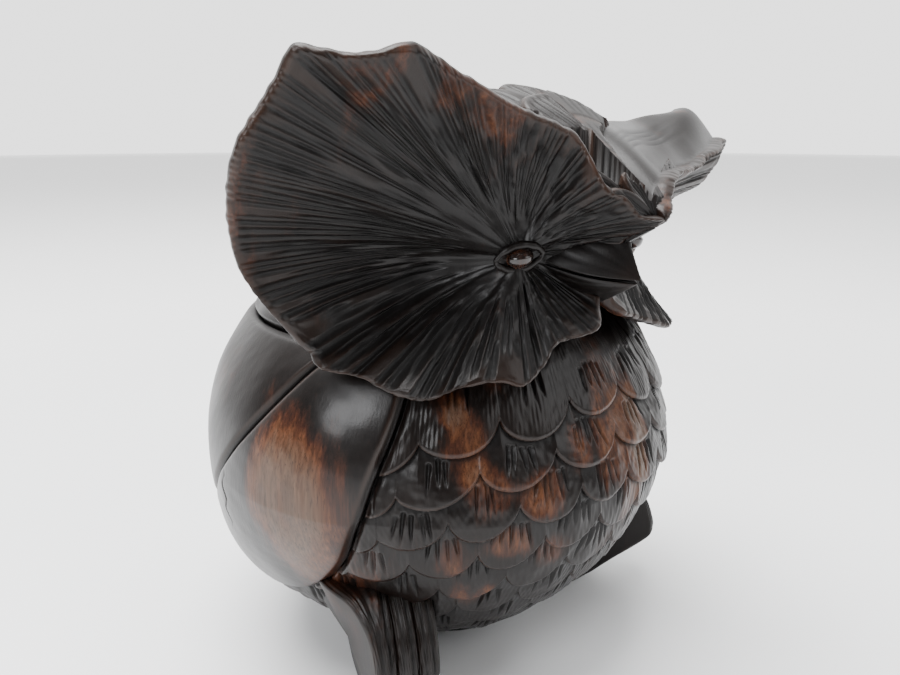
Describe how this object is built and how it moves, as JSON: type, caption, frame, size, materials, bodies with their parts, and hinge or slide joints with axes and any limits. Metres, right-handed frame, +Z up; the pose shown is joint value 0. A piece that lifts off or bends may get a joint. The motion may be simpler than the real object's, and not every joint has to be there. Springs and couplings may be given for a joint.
{
  "type": "carved wooden owl figurine",
  "caption": "Round hand-carved wooden owl with large flared and fluted facial discs, overlapping breast scales, smooth wings, hooked beak and small grooved feet.",
  "frame": {"origin": "centre of the flat base under the ball body", "axes": "+Z up, the owl faces -Y, its own left side is +X"},
  "size_m": [0.1082, 0.1014, 0.1097],
  "materials": {
    "rosewood": "very dark brown streaked with red-brown, vertical grain, hand-rubbed semi-gloss, dusty in the carved grooves",
    "rosewood_streaked": "smooth dark brown with a broad tan band of lighter grain, polished semi-gloss",
    "rosewood_dark": "near-black heartwood, semi-gloss",
    "rosewood_polished": "near-black heartwood polished to a high gloss"
  },
  "bodies": {
    "root": {"torso": "rosewood", "mantle": "rosewood", "tail": "rosewood", "head_crown": "rosewood", "beak_upper": "rosewood_dark", "beak_lower": "rosewood_dark", "breast_row_1": "rosewood", "breast_row_2": "rosewood", "breast_row_3": "rosewood", "breast_row_4": "rosewood", "breast_row_5": "rosewood", "breast_row_6": "rosewood", "breast_row_7": "rosewood", "breast_row_8": "rosewood", "wing_right": "rosewood_streaked", "face_disc_right": "rosewood", "eye_right": "rosewood_polished", "eyelid_right": "rosewood_dark", "toe_right_1": "rosewood", "toe_right_2": "rosewood", "toe_right_3": "rosewood", "wing_left": "rosewood_streaked", "face_disc_left": "rosewood", "eye_left": "rosewood_polished", "eyelid_left": "rosewood_dark", "toe_left_1": "rosewood", "toe_left_2": "rosewood", "toe_left_3": "rosewood"}
  },
  "joints": []
}
